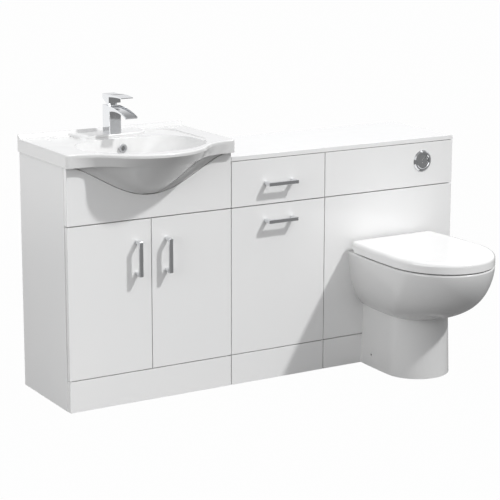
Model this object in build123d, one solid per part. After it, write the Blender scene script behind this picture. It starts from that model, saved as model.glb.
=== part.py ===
from build123d import *
import os
from math import acos, cos, pi, sin, sqrt

# Bathroom furniture run: a basin unit with two doors and a semi-recessed ceramic basin,
# a drawer and laundry unit, and a back-to-wall WC unit with its concealed cistern.
# Everything is first placed in the run's own frame: X from the left end of the basin unit,
# Y from the front faces back to the wall, Z up from the floor. The last lines move it so
# that the origin is at the bottom centre of the whole object. Sizes are in millimetres.

os.makedirs("parts", exist_ok=True)

# Furniture
basin_unit_w = 550
laundry_unit_w = 340
wc_unit_w = 500
depth = 330
board = 16
front_t = 18
door_t = 16
gap = 3
low_unit_h = 704
basin_rise = 31
worktop_t = 15
worktop_edge_r = 1.5
plinth_h = 96
drawer_front_h = 144
rail_h = 100
front_rail_h = 40
rail_depth = 60
back_t = 6
service_void = 24
wall_screw_r = 3
wall_screw_drop = 40
basin_screws = 360
wc_screws = 420
hole_over = 1

# Handles
handle_pitch = 96
handle_bar = 11
handle_t = 8
handle_reach = 34
handle_corner_r = 3
handle_edge = 0.8
handle_from_split = 50
handle_below_top = 115
drawer_handle_drop = 77
laundry_handle_drop = 50

# Concealed hinges
cup_r = 17.5
cup_depth = 12
cup_wall = 2
cup_floor = 1
cup_inset = 22.5
cup_flange = (56, 22, 1.2)
cup_flange_r = 5
cup_pin_r = 1.5
cup_pin_sunk = 4
cup_screw_apart = 48
cup_screw_r = 4
cup_screw_h = 0.6
hinge_from_end = 90
hinge_nose_gap = 2.7
arm_l = 58
arm_w = 18
arm_h = 14
arm_nose_h = 9
arm_wall = 2
arm_plate = (44, 30, 2)
arm_plate_y = 36
arm_plate_r = 6
arm_screw_y = 41
arm_screw_r = 4
arm_screw_h = 13

# Ceramic basin
slab_over = 5
slab_t = 40
slab_corner_r = 12
wing_reach = 20
bow_reach = 145
bow_r = 195
sweep_r = 145
rim_t = 11
rim_round = 5
bow_fall = 1.15
bow_fullness = 0.95
belly_half_w = 257
bell_power = 0.7
fascia_cut = 102
fascia_clear = 2
fascia_side = 8
belly_front_past = 4
belly_step = 0.5
belly_levels = (1, 0.92, 0.8, 0.64, 0.44, 0.25, 0.1, 0.025)
belly_rear_depth = 110
belly_rear = ((10, 0.99, 0.9), (70, 0.98, 1), (130, 0.95, 0.98), (175, 0.9, 0.84), (208, 0.83, 0.51))
upstand_h = 12
upstand_top_t = 5
upstand_foot_t = 17
upstand_sunk = 6
step_depth = 3
step_half_w = 212
step_y = (10, 300)
step_corner_r = 60
step_slope = 50
ledge_rise = 9
ledge_front_y = 226
ledge_half_w = 118
ledge_corner_r = 50
ledge_round = 5
bowl_half_w = 198
bowl_centre_y = 45
bowl_floor_up = 21
bowl_back_power = 3.2
bowl_front_power = 2
bowl_levels = ((-8, 1.01, -108, 193), (12, 0.97, -102, 189), (44, 0.83, -76, 183),
               (78, 0.63, -46, 172), (104, 0.43, -12, 142))
bowl_floor = (0.23, 24, 108)
waste_y = 72
waste_hole_r = 23
overflow_drop = 32
overflow_y = 180
overflow_hole_r = 9
overflow_clear = 0.3
overflow_rim_r = 13
overflow_rim_t = 2.5
overflow_bore_r = 7.5
overflow_sleeve = 10
overflow_wall = 4

# Tap
tap_w = 40
tap_depth = 50
tap_front_y = 228
tap_column_h = 86
tap_edge_r = 3
tap_hole_r = 17.5
spout_reach = 108
spout_flat = 12
spout_root_t = 17
spout_belly_t = 14
spout_tip_t = 5
spout_drop = 22
channel_wall = 3
channel_depth = 5
channel_from_front = 4
outlet_slot = (4, 14)
neck_h = 8
neck_r = 16
neck_gap = 0.5
handle_block_h = 26
handle_heel = 13
lever_reach = 84
lever_t = 7
lever_tip_t = 2
lever_crown = 2.5
handle_pocket = (10.5, 16, 14)
handle_roof = 4
tap_stem_r = 9
stem_sunk = 25
stem_up = 18
stem_flat = 6
pivot_up = 10.4
pivot_pin_r = 2
pin_clear = 0.05
pin_end_gap = 4
tail_r = 5
tail_bore_r = 3.5
tail_l = 205
tail_step = 45
tail_apart = 18
tail_spread = 45
tail_before_stem = 6
tail_straight = 62
tail_bend_h = 44
tail_bend_r = 26
ferrule_r = 7.5
ferrule_l = 25
stud_r = 4
stud_behind = 9
stud_below = 50
fix_washer = (24, 3)
fix_bridge = (20, 6, 5)
fix_nut_r = 8
fix_nut_h = 10

# Waste and trap
flange_r = 31
flange_t = 2
flange_sink = 3
flange_clear = 0.5
waste_tail_r = 20
waste_wall = 3
waste_tail_l = 62
waste_nut_r = 29
waste_nut_h = 10
nut_clear = 5
cross_z = (-28, -20)
cross_t = 3
guide_r = 7
plug_stem_r = 4
plug_lift = 8
plug_l = 40
plug_cap = ((14, 4), (24, 5), (27, 3), (27, 1), (24, 0))
trap_r = 30
trap_bottle_l = 80
union_r = 27
union_z = (-22, 12)
trap_neck_r = 16
trap_cup_grip = 3
trap_cup_h = 18
trap_cone_h = 22
trap_cone_r = 20
trap_pipe_r = 16
trap_pipe_wall = 2
trap_out_below = 40
stub_wall = 5
stub_l = 26
olive_t = 3
olive_l = 4

# Drawer and laundry basket
runner_t = 6.2
runner_web = 1.6
runner_play = 0.3
runner_h = 42
runner_l = 250
runner_back = 2
runner_lip = 3.2
slide_inset = 6
tongue_inset = 10
drawer_l = 268
drawer_h = 88
drawer_wall = 12
drawer_base = 6
drawer_up = 16
basket_w = 256
basket_d = 196
basket_h = 330
basket_top_drop = 88
basket_wall = 3
basket_corner_r = 14
basket_rim = 8
basket_rim_h = 4
basket_taper = 14
slot_rows = 4
slots_per_row = 5
slot_w = 8
slot_pitch = 26
slot_from_door = 48
slot_bridge = 16
slot_z0 = 34
slot_margin = 70

# Cistern and flush
tank_w = 370
tank_d = 150
tank_h = 292
tank_top_drop = 17
tank_wall = 4
tank_corner_r = 8
tank_lid_t = 4
flush_bore_r = 21
flush_wall = 2
flush_bend_r = 62
flush_hole_clear = 4
valve_base = (36, 12)
valve_cage = (34, 30, 60)
valve_window = (80, 16, 44)
valve_head_h = 90
overflow_pipe = (12, 9, 60)
valve_thread = (3.5, 0.3, 34)
valve_nut = (38, 12)
fill_from_centre = 133.2
fill_shank = (12, 190)
fill_collar = (18, 6)
fill_float = (28, 14, 95, 70)
fill_head = (20, 34)
fill_bridge = (27, 4, 8)
fill_thread = (10.2, 40)
fill_nut = (17, 9)
fill_hole_r = 10.5
button_from_right = 122
button_drop = 61
ring_r = 35
ring_out = 5
ring_flat = 5
button_well_r = 23
barrel_wall = 3
barrel_past = 14
ring_nut = (31, 8)
ring_cap_t = 3
button_face = 3
button_t = 9
button_play = 0.4
button_edge = 0.6
button_stem = (3, 9)
half_button_r = 11.5
full_stem_x = -12.6
half_stem_x = 8.7

# Pan, seat and lid
pan_half_w = 170
pan_back_half_w = 158
pan_reach = 450
pan_nose = 195
rim_z = 375
pan_rim_r = 5
pan_levels = ((185, 0.585), (163, 0.72), (125, 0.86), (75, 0.95), (30, 0.99), (0, 1))
stem_half_w = 107
stem_reach = 262
stem_draw = 8
stem_top_z = 240
stem_back_less = 4
pan_wall = 14
foot_hollow_h = 120
bowl_wells = ((-5, 124, 42, 78), (12, 122, 46, 80), (70, 108, 70, 86), (125, 76, 120, 96),
              (165, 44, 190, 120))
soil_z = 180
soil_r = 51
soil_wall = 9
spigot_y = (-60, 56)
panel_hole_clear = 6
inlet_z = 300
inlet_depth = 34
inlet_end_gap = 3
inlet_clear = 0.5
fix_hole = (4, 30, 60, 40)
socket_wall = 8
socket_gap = 8
connector_wall = 4
seat_gap = 4
seat_t = 14
seat_round = 4
seat_inset = 6
seat_hole = (112, 58, 98)
seat_to_axis = 4
lid_h = 34
lid_wall = 4
lid_top_t = 5
lid_round = 14
lid_back_round = 4
lid_inner_round = 9
lid_heel = 7
lid_foot = (6, 130, 250)
lid_back_y = -20
lid_back_wall = 20
seat_axis_y = -32
seat_pin_r = 4
knuckle_r = 8
knuckle_w = 15.4
knuckle_gap = 0.6
lug_sunk = 12
post_spacing = 155
post_w = 20
post_pin_past = 15
buffer_r = 7
buffer_spots = ((-132, -120), (132, -120), (-118, -320), (118, -320))

# Places that follow from the sizes above
basin_unit_h = low_unit_h + basin_rise
split_z = low_unit_h - drawer_front_h
x_laundry = basin_unit_w
x_wc = x_laundry + laundry_unit_w
x_end = x_wc + wc_unit_w
basin_x = basin_unit_w / 2
laundry_x = x_laundry + laundry_unit_w / 2
pan_x = x_wc + wc_unit_w / 2
half = gap / 2
floor_top = plinth_h + board
inner_left = x_laundry + board
inner_right = x_wc - board

left_cup_x = half + cup_inset
right_cup_x = basin_unit_w - half - cup_inset
laundry_cup_z = plinth_h + half + cup_inset
hinge_heights = (plinth_h + hinge_from_end, split_z - hinge_from_end)
laundry_hinge_xs = (laundry_x - laundry_unit_w / 4, laundry_x + laundry_unit_w / 4)
hinge_nose_y = door_t + hinge_nose_gap

slab_top = basin_unit_h + slab_t
rim_z0 = slab_top - rim_t
step_top = slab_top - step_depth
ledge_top = step_top + ledge_rise
wing_y = -wing_reach
bell_low_z = basin_unit_h - fascia_cut
bowl_floor_z = bell_low_z + bowl_floor_up
flange_z = bowl_floor_z - flange_sink
nut_seat_z = basin_unit_h - belly_rear_depth + 1
trap_top = flange_z - waste_tail_l
trap_out_z = trap_top - trap_out_below

tap_y = tap_front_y + tap_depth / 2
column_top_z = ledge_top + tap_column_h
pocket_z = column_top_z + neck_h
pivot_z = pocket_z + pivot_up

drawer_z = split_z + drawer_up
runner_z = drawer_z + (drawer_h - runner_h) / 2
runner_y = front_t + runner_back
box_left = inner_left + 2 * runner_t + runner_play
box_right = inner_right - 2 * runner_t - runner_play
basket_top_z = split_z - basket_top_drop
basket_z = basket_top_z - basket_h

tank_z = low_unit_h - tank_top_drop - tank_h
tank_y = (depth - board - tank_d, depth - board)
tank_x = (pan_x - tank_w / 2, pan_x + tank_w / 2)
valve_y = (tank_y[0] + tank_y[1]) / 2
valve_z = tank_z + tank_wall
flush_r = flush_bore_r + flush_wall
fill_x = pan_x + fill_from_centre
button_x = x_end - button_from_right
button_z = low_unit_h - button_drop

seat_z = rim_z + seat_gap
seat_axis_z = seat_z + seat_t
lid_top_z = seat_z + lid_h
seat_back_y = seat_axis_y - knuckle_r - seat_to_axis
post_xs = (pan_x - post_spacing / 2, pan_x + post_spacing / 2)

up = (0, 0, 1)
down = (0, 0, -1)
to_wall = (0, 1, 0)
to_room = (0, -1, 0)
to_right = (1, 0, 0)
low = (Align.CENTER, Align.CENTER, Align.MIN)
hanging = (Align.CENTER, Align.CENTER, Align.MAX)


def block(x, y, z):
    """Square-edged board or bar between the given pairs of coordinates."""
    size = (x[1] - x[0], y[1] - y[0], z[1] - z[0])
    return Pos(x[0], y[0], z[0]) * Box(*size, align=(Align.MIN, Align.MIN, Align.MIN))


def rod(start, direction, r, length):
    """Round bar of radius r that starts at a point and runs along a direction."""
    at = Plane(origin=start, z_dir=direction).location
    return at * Cylinder(r, length, align=low)


def tube(start, direction, r_out, r_in, length):
    return rod(start, direction, r_out, length) - rod(start, direction, r_in, length)


def bore(start, direction, r, length):
    """Round cutter that also clears a little past both ends."""
    at = Plane(origin=start, z_dir=direction).location
    return at * Pos(0, 0, -hole_over) * Cylinder(r, length + 2 * hole_over, align=low)


# Carcase boards

def unit_side(x0, height):
    return block((x0, x0 + board), (front_t, depth), (0, height))


def floor_panel(x0, width):
    x = (x0 + board, x0 + width - board)
    return block(x, (front_t, depth - board), (plinth_h, floor_top))


def plinth(x0, width):
    return block((x0 + half, x0 + width - half), (0, front_t), (0, plinth_h - half))


def front_panel(x0, width, z0, z1, thickness):
    """A front with half of the gap taken off each of its four edges."""
    return block((x0 + half, x0 + width - half), (0, thickness), (z0 + half, z1 - half))


def wall_rail(x, middle, height, screw_spacing):
    """Upper rail against the wall, with its two screw holes."""
    rail = block(x, (depth - board, depth), (height - rail_h, height))
    for side in (-1, 1):
        at = (middle + side * screw_spacing / 2, depth - board, height - wall_screw_drop)
        rail -= bore(at, to_wall, wall_screw_r, board)
    return rail


def unit_rails():
    """Stretchers that tie the sides: wall rails, front rails and the rail under the drawer."""
    wall = (depth - board, depth)
    front = (front_t, front_t + board)
    flat = (front_t, front_t + rail_depth)
    basin_span = (board, basin_unit_w - board)
    laundry_span = (inner_left, inner_right)
    wc_span = (x_wc + board, x_end - board)
    wc_low = inlet_z - rail_h / 2
    return [
        wall_rail(basin_span, basin_x, basin_unit_h, basin_screws),
        block(basin_span, wall, (floor_top, floor_top + rail_h)),
        block(basin_span, front, (split_z - board / 2, split_z + front_rail_h)),
        block(laundry_span, flat, (split_z - board / 2, split_z + board / 2)),
        wall_rail(wc_span, pan_x, low_unit_h, wc_screws),
        block(wc_span, wall, (wc_low, wc_low + rail_h)),
        block(wc_span, front, (split_z - front_rail_h, split_z + front_rail_h)),
        block(wc_span, flat, (low_unit_h - board, low_unit_h)),
    ]


def laundry_back():
    y1 = depth - service_void
    return block((inner_left, inner_right), (y1 - back_t, y1), (floor_top, low_unit_h))


def worktop(x0, width):
    top = block((x0, x0 + width), (0, depth), (low_unit_h, low_unit_h + worktop_t))
    front_edges = top.edges().filter_by(Axis.X).sort_by(Axis.Y)[:2]
    return fillet(front_edges, worktop_edge_r)


# Fronts, handles and hinges

def bow_handle():
    """Square-section bow handle lying along X, its feet on the plane Y = 0."""
    length = handle_pitch + handle_bar
    inner_l = handle_pitch - handle_bar
    outer = Pos(0, -handle_reach / 2) * RectangleRounded(length, handle_reach, handle_corner_r)
    inner = Pos(0, handle_t - handle_reach / 2) * RectangleRounded(inner_l, handle_reach, handle_corner_r)
    feet = Pos(0, -handle_corner_r) * Rectangle(length, 2 * handle_corner_r)
    profile = (outer + feet) - inner - Rectangle(inner_l, 4 * handle_corner_r)
    bar = extrude(profile, handle_bar / 2, both=True)
    face_edges = bar.edges().filter_by(lambda e: abs(abs(e.center().Z) - handle_bar / 2) < 0.01)
    return chamfer(face_edges.filter_by(lambda e: e.center().Y < 0.01 - handle_reach), handle_edge)


def upright_handle(x):
    """Door handle standing below the door's top edge."""
    return Pos(x, 0, split_z - handle_below_top) * Rot(0, 90, 0) * bow_handle()


def level_handle(z):
    return Pos(laundry_x, 0, z) * bow_handle()


def hinge_cup():
    """Concealed hinge cup on the plane Z = 0: sunk barrel, flange, link pin and two screws."""
    length, width, thickness = cup_flange
    barrel = Cylinder(cup_r - pin_clear, cup_depth, align=hanging)
    barrel -= Cylinder(cup_r - cup_wall, cup_depth - cup_floor, align=hanging)
    plan = RectangleRounded(length, width, cup_flange_r) - Circle(cup_r - cup_wall)
    link_pin = Rot(90, 0, 0) * Cylinder(cup_pin_r, 2 * (cup_r - cup_pin_r))
    cup = barrel + extrude(plan, thickness) + Pos(0, 0, -cup_pin_sunk) * link_pin
    for side in (-1, 1):
        head = Cone(cup_screw_r, cup_screw_r / 2, cup_screw_h, align=low)
        cup += Pos(side * cup_screw_apart / 2, 0, thickness) * head
    return cup


def hinge_arm():
    """Arm and wall plate on the plane Z = 0, with its nose at Y = 0 and its plate behind."""
    length, width, thickness = arm_plate
    plate = Pos(0, arm_plate_y, 0) * extrude(RectangleRounded(length, width, arm_plate_r), thickness)
    side = make_face(Polyline((0, arm_wall * 2), (0, arm_nose_h), (arm_wall * 3, arm_h),
                              (arm_l - arm_w, arm_h), (arm_l, arm_h / 2), (arm_l, arm_wall),
                              (arm_h, arm_wall), (arm_nose_h, arm_wall * 2), close=True))
    arm = extrude(Plane.YZ * side, arm_w / 2, both=True)
    return plate + arm + rod((0, arm_screw_y, 0), up, arm_screw_r, arm_screw_h)


def side_place(x, y, z, facing):
    """Location on a unit side's inner face: local Z away from the board, local Y to the wall."""
    return Plane(origin=(x, y, z), x_dir=(0, 0, -facing), z_dir=(facing, 0, 0)).location


def hinge_arms():
    arms = []
    for z in hinge_heights:
        for x, facing in ((board, 1), (basin_unit_w - board, -1)):
            arms.append(side_place(x, hinge_nose_y, z, facing) * hinge_arm())
    for x in laundry_hinge_xs:
        arms.append(Pos(x, hinge_nose_y, floor_top) * hinge_arm())
    return arms


def cup_on_door(x, z, upright):
    """Cup on a door's back face; the flange's long side stands upright on side-hung doors."""
    x_dir = up if upright else to_right
    return Plane(origin=(x, door_t, z), x_dir=x_dir, z_dir=to_wall).location * hinge_cup()


def cup_pocket(x, z):
    return rod((x, door_t, z), to_room, cup_r, cup_depth)


def door_cups(x):
    return [cup_on_door(x, z, True) for z in hinge_heights]


def basin_door(x0, x1, cup_x):
    door = block((x0, x1), (0, door_t), (plinth_h + half, split_z - half))
    for z in hinge_heights:
        door -= cup_pocket(cup_x, z)
    return door


def laundry_door():
    door = front_panel(x_laundry, laundry_unit_w, plinth_h, split_z, door_t)
    for x in laundry_hinge_xs:
        door -= cup_pocket(x, laundry_cup_z)
    return door


# Ceramic basin

def bow_points(reach):
    """Centre, end and tangent points of the bowed front: a convex arc between two hollow ones."""
    centre_y = bow_r - reach
    sweep_y = wing_y - sweep_r
    total = bow_r + sweep_r
    sweep_x = sqrt(total ** 2 - (centre_y - sweep_y) ** 2)
    share = bow_r / total
    touch = (sweep_x * share, centre_y + (sweep_y - centre_y) * share)
    return centre_y, sweep_x, touch


def sweep_middle(sweep_x, touch):
    """Middle point of the hollow arc between the wing and the bow."""
    centre = (sweep_x, wing_y - sweep_r)
    chord = ((sweep_x + touch[0]) / 2 - centre[0], (wing_y + touch[1]) / 2 - centre[1])
    scale = sweep_r / sqrt(chord[0] ** 2 + chord[1] ** 2)
    return (centre[0] + chord[0] * scale, centre[1] + chord[1] * scale)


def slab_outline(reach, z):
    """Plan of the basin's slab: straight back and ends, wings, and the bow between them."""
    sweep_x, touch = bow_points(reach)[1:]
    end = basin_unit_w / 2 + slab_over
    r = slab_corner_r
    middle = sweep_middle(sweep_x, touch)
    edges = [
        Line((-end, depth), (end, depth)),
        Line((end, depth), (end, wing_y + r)),
        RadiusArc((end, wing_y + r), (end - r, wing_y), r),
        Line((end - r, wing_y), (sweep_x, wing_y)),
        ThreePointArc((sweep_x, wing_y), middle, touch),
        ThreePointArc(touch, (0, -reach), (-touch[0], touch[1])),
        ThreePointArc((-touch[0], touch[1]), (-middle[0], middle[1]), (-sweep_x, wing_y)),
        Line((-sweep_x, wing_y), (r - end, wing_y)),
        RadiusArc((r - end, wing_y), (-end, wing_y + r), r),
        Line((-end, wing_y + r), (-end, depth)),
    ]
    return Pos(basin_x, 0, z) * make_face(edges)


def bow_share(share):
    """Plan of the bow as a share of its reach: 1 in the middle, 0 where it meets the wings."""
    centre_y, sweep_x, touch = bow_points(bow_reach)
    x = abs(share) * sweep_x
    if x < touch[0]:
        y = centre_y - sqrt(bow_r ** 2 - x ** 2)
    else:
        y = wing_y - sweep_r + sqrt(sweep_r ** 2 - (sweep_x - x) ** 2)
    return (wing_y - y) / (bow_reach - wing_reach)


def bow_reach_at(z):
    """How far the bow still stands out at a height under its rim: almost a straight fall."""
    fallen = (rim_z0 - z) / (rim_z0 - bell_low_z)
    return bow_reach * (1 - fallen ** (1 / bow_fullness)) ** (1 / bow_fall)


def bell(share):
    """Bell curve: 1 in the middle, 0 at share 1."""
    return ((1 + cos(pi * abs(share))) / 2) ** bell_power


def bell_half_width(z):
    """Half width of the bell at a height: the bell curve read the other way round."""
    hung = ((basin_unit_h - z) / fascia_cut) ** (1 / bell_power)
    return belly_half_w * acos(2 * hung - 1) / pi


def shares(count):
    return [i / (count - 1) * 2 - 1 for i in range(count)]


def closed_section(points, back_left, back_right):
    """Face between a spline of points and the straight line behind it."""
    left, right = points[0], points[-1]
    edges = [Spline(points), Line(right, back_right), Line(back_right, back_left), Line(back_left, left)]
    return Face(Wire(edges))


def bow_section(z, y_back):
    """Level section of the belly in front of the fascia, a fine step behind the slab's lower edge."""
    reach = bow_reach_at(z) - belly_step
    half_w = bell_half_width(z)
    points = [(basin_x + half_w * s, -reach * bow_share(s), z) for s in shares(17)]
    return closed_section(points, (basin_x - half_w, y_back, z), (basin_x + half_w, y_back, z))


def bell_section(half_w, drop, y, top, lip=0):
    """Upright section across the basin, bounded below by the bell curve."""
    points = [(basin_x + half_w * s, y, basin_unit_h - lip - drop * bell(s)) for s in shares(13)]
    return closed_section(points, (basin_x - half_w, y, top), (basin_x + half_w, y, top))


def belly():
    """Outer form of the bowl under the slab: the bowed front, then the part inside the unit."""
    levels = [bell_low_z + fascia_cut * share for share in belly_levels]
    front = loft([bow_section(z, front_t + belly_front_past) for z in levels])
    rear = loft([bell_section(belly_half_w * w, belly_rear_depth * d, y, basin_unit_h, lip=2)
                 for y, w, d in belly_rear])
    return front + rear


def bowl_outline(z, half_w, y_front, y_back, count=26):
    """Closed bowl outline: fuller towards the straight back, rounder at the front."""
    points = []
    for i in range(count):
        turn = 2 * pi * i / count
        c, s = cos(turn), sin(turn)
        power = bowl_back_power if s > 0 else bowl_front_power
        reach = y_back - bowl_centre_y if s > 0 else bowl_centre_y - y_front
        x = half_w * (1 if c > 0 else -1) * abs(c) ** (2 / power)
        y = bowl_centre_y + reach * (1 if s > 0 else -1) * abs(s) ** (2 / power)
        points.append((basin_x + x, y, z))
    return Face(Wire([Spline(points, periodic=True)]))


def bowl_hollow():
    """Inside of the bowl, from above the rim down to its floor."""
    rings = [bowl_outline(slab_top - drop, bowl_half_w * w, y0, y1) for drop, w, y0, y1 in bowl_levels]
    w, y0, y1 = bowl_floor
    return loft(rings + [bowl_outline(bowl_floor_z, bowl_half_w * w, y0, y1)])


def step_recess():
    """Shallow step round the bowl with sloping sides."""
    plan = RectangleRounded(2 * step_half_w, step_y[1] - step_y[0], step_corner_r)
    cutter = extrude(plan, step_depth + hole_over, taper=-step_slope)
    return Pos(basin_x, (step_y[0] + step_y[1]) / 2, step_top) * cutter


def tap_ledge():
    """Raised platform that carries the tap, its ends curving back to the upstand."""
    y1 = depth - upstand_top_t
    plan = RectangleRounded(2 * ledge_half_w, 2 * (y1 - ledge_front_y), ledge_corner_r)
    pad = Pos(basin_x, y1, step_top - ledge_rise) * extrude(plan, 2 * ledge_rise)
    pad = fillet(pad.edges().group_by(Axis.Z)[-1], ledge_round)
    return pad & block((0, basin_unit_w), (0, y1), (0, ledge_top))


def upstand():
    """Low ridge along the wall, thin on top and thicker at its foot."""
    foot_z = slab_top - upstand_sunk
    top_z = slab_top + upstand_h
    face = make_face(Polyline((depth, foot_z), (depth, top_z), (depth - upstand_top_t, top_z),
                              (depth - upstand_foot_t, slab_top), (depth - upstand_foot_t, foot_z),
                              close=True))
    ridge = Pos(-slab_over, 0, 0) * extrude(Plane.YZ * face, basin_unit_w + 2 * slab_over)
    return fillet(ridge.edges().filter_by(Axis.X).group_by(Axis.Z)[-1], upstand_top_t * 0.4)


def ceramic_basin():
    under = slab_outline(bow_reach_at(basin_unit_h), basin_unit_h)
    body = loft([under, slab_outline(bow_reach, rim_z0)], ruled=True)
    plate = extrude(slab_outline(bow_reach, rim_z0), rim_t)
    top_edges = plate.edges().group_by(Axis.Z)[-1]
    plate = fillet(top_edges.filter_by(lambda e: e.center().Y < depth - 1), rim_round)
    body = body + plate + belly()
    body = body - step_recess()
    body = body + upstand() + tap_ledge()
    body = body - bowl_hollow()
    body -= bore((basin_x, tap_y, basin_unit_h), up, tap_hole_r, ledge_top - basin_unit_h)
    body -= bore((basin_x, waste_y, nut_seat_z), up, waste_hole_r, bowl_floor_z - nut_seat_z)
    body -= rod((basin_x, waste_y, flange_z), up, flange_r + flange_clear, flange_sink + plug_lift)
    body -= rod((basin_x, waste_y, nut_seat_z), down, waste_nut_r + nut_clear, waste_nut_r)
    at = (basin_x, overflow_y, slab_top - overflow_drop)
    body -= rod(at, to_wall, overflow_hole_r + overflow_clear, overflow_sleeve + overflow_wall)
    return body - rod(at, to_room, overflow_rim_r + overflow_clear, waste_nut_r)


def basin_fascia():
    """Fixed front under the basin, its top edge cut to the belly's bell shape."""
    panel = block((half, basin_unit_w - half), (0, front_t), (split_z + half, basin_unit_h))
    cut = bell_section(belly_half_w + fascia_side, fascia_cut + fascia_clear, 0, basin_unit_h + gap)
    return panel - extrude(cut, front_t, dir=to_wall)


# Waste and trap

def waste_body():
    """Flanged waste with its tail, the cross and guide for the plug's stem, and the back nut."""
    c = (basin_x, waste_y)
    inner = waste_tail_r - waste_wall
    body = tube((*c, flange_z), up, flange_r, inner, flange_t)
    body += tube((*c, flange_z), down, waste_tail_r, inner, waste_tail_l)
    z = (flange_z + cross_z[0], flange_z + cross_z[1])
    long_side = (-inner - 2, inner + 2)
    thin_side = (-cross_t / 2, cross_t / 2)
    for dx, dy in ((long_side, thin_side), (thin_side, long_side)):
        body += block((c[0] + dx[0], c[0] + dx[1]), (c[1] + dy[0], c[1] + dy[1]), z)
    body += rod((*c, z[0]), up, guide_r, z[1] - z[0])
    nut = Pos(*c, nut_seat_z - waste_nut_h) * extrude(RegularPolygon(waste_nut_r, 6), waste_nut_h)
    body += nut - bore((*c, nut_seat_z - waste_nut_h), up, waste_tail_r - 1, waste_nut_h)
    return body - bore((*c, z[0]), up, plug_stem_r + pin_clear, z[1] - z[0])


def waste_plug():
    """Mushroom plug that stands up from the waste when open."""
    cap = [(0, plug_lift)] + [(r, plug_lift + h) for r, h in plug_cap]
    cap[0] = (0, plug_lift + plug_cap[0][1])
    stem = [(plug_stem_r, plug_lift), (plug_stem_r, plug_lift - plug_l), (0, plug_lift - plug_l)]
    profile = make_face(Polyline(*cap, *stem, close=True))
    return Pos(basin_x, waste_y, flange_z) * revolve(Plane.XZ * profile, Axis.Z)


def bottle_trap():
    """Bottle trap: union nut, bottle, screwed cup and the stub of its outlet."""
    c = (basin_x, waste_y)
    neck_z = trap_top + union_z[0]
    cup_z = neck_z - trap_bottle_l
    body = rod((*c, neck_z), up, union_r, union_z[1] - union_z[0])
    body += rod((*c, neck_z), down, trap_r, trap_bottle_l)
    body += rod((*c, cup_z), down, trap_r + trap_cup_grip, trap_cup_h)
    cone = Cone(trap_cone_r, trap_r, trap_cone_h, align=hanging)
    body += Pos(*c, cup_z - trap_cup_h + trap_cone_h / 2) * cone
    body += rod((*c, trap_out_z), to_wall, trap_pipe_r + stub_wall, trap_r + stub_l)
    body -= rod((*c, trap_top), up, waste_tail_r, union_z[1] + hole_over)
    body -= rod((*c, neck_z - union_z[1]), up, trap_neck_r, union_r + union_z[1])
    return body - rod((c[0], c[1] + trap_r, trap_out_z), to_wall, trap_pipe_r, 2 * stub_l)


def trap_outlet_pipe():
    """Pipe from the trap to the wall, with the union's olive against the stub."""
    y0 = waste_y + trap_r
    inner = trap_pipe_r - trap_pipe_wall
    pipe = tube((basin_x, y0, trap_out_z), to_wall, trap_pipe_r, inner, depth - y0)
    olive_at = (basin_x, y0 + stub_l, trap_out_z)
    return pipe + tube(olive_at, to_wall, trap_pipe_r + olive_t, inner + 1, olive_l)


def overflow_ring():
    at = (basin_x, overflow_y, slab_top - overflow_drop)
    rim = tube(at, to_room, overflow_rim_r, overflow_bore_r, overflow_rim_t)
    return rim + tube(at, to_wall, overflow_hole_r, overflow_bore_r, overflow_sleeve)


# Basin tap

def spout_profile():
    """Side view of column and spout in the YZ plane."""
    front = tap_front_y
    back = front + tap_depth
    tip_y = front - spout_reach
    top = column_top_z
    tip = top - spout_drop
    edges = [
        Line((back, ledge_top), (back, top)),
        Line((back, top), (front + spout_flat, top)),
        TangentArc((front + spout_flat, top), (tip_y, tip), tangent=(-1, 0)),
        Line((tip_y, tip), (tip_y + 1, tip - spout_tip_t)),
        ThreePointArc((tip_y + 1, tip - spout_tip_t), ((front + tip_y) / 2, top - spout_belly_t),
                      (front, top - spout_root_t)),
        Line((front, top - spout_root_t), (front, ledge_top)),
        Line((front, ledge_top), (back, ledge_top)),
    ]
    return Plane.YZ * make_face(edges)


def spout_channel():
    """Open water channel sunk in the spout's top, ending at the lip."""
    start = tap_front_y + channel_from_front
    end = tap_front_y - spout_reach - 2
    over = column_top_z + hole_over
    floor_z = column_top_z - channel_depth
    end_z = column_top_z - spout_drop - channel_depth / 2
    edges = [
        Line((start, over), (start, floor_z)),
        TangentArc((start, floor_z), (end, end_z), tangent=(-1, 0)),
        Line((end, end_z), (end, over)),
        Line((end, over), (start, over)),
    ]
    return Plane.YZ * make_face(edges)


def tap_body():
    solid = Pos(basin_x, 0, 0) * extrude(spout_profile(), tap_w / 2, both=True)
    upright = solid.edges().filter_by(Axis.Z).filter_by(lambda e: e.length > tap_column_h / 2)
    solid = fillet(upright, tap_edge_r)
    inner = tap_w / 2 - channel_wall
    solid -= Pos(basin_x, 0, 0) * extrude(spout_channel(), inner, both=True)
    height, inward = outlet_slot
    slot_z = column_top_z - channel_depth - height
    solid -= block((basin_x - inner + 2, basin_x + inner - 2), (tap_front_y, tap_front_y + inward),
                   (slot_z, slot_z + height))
    return solid - bore((basin_x, tap_y, column_top_z - stem_sunk), up, tap_stem_r + pin_clear, stem_sunk)


def tap_neck():
    """Round cover of the cartridge between column and handle."""
    at = (basin_x, tap_y, column_top_z)
    return tube(at, up, neck_r, tap_stem_r + pin_clear, neck_h - neck_gap)


def tap_stem():
    """Cartridge stem that turns in the column; its flattened head carries the handle's pin."""
    z = (column_top_z - stem_sunk, pocket_z + stem_up)
    stem = rod((basin_x, tap_y, z[0]), up, tap_stem_r, z[1] - z[0])
    beside = (tap_y - tap_stem_r, tap_y + tap_stem_r)
    for side in (-1, 1):
        flat = sorted((basin_x + side * stem_flat, basin_x + side * (tap_stem_r + 1)))
        stem -= block(flat, beside, (pocket_z + 1, z[1] + 1))
    pin_l = tap_w - 2 * pin_end_gap
    return stem + rod((basin_x - pin_l / 2, tap_y, pivot_z), to_right, pivot_pin_r, pin_l)


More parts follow.
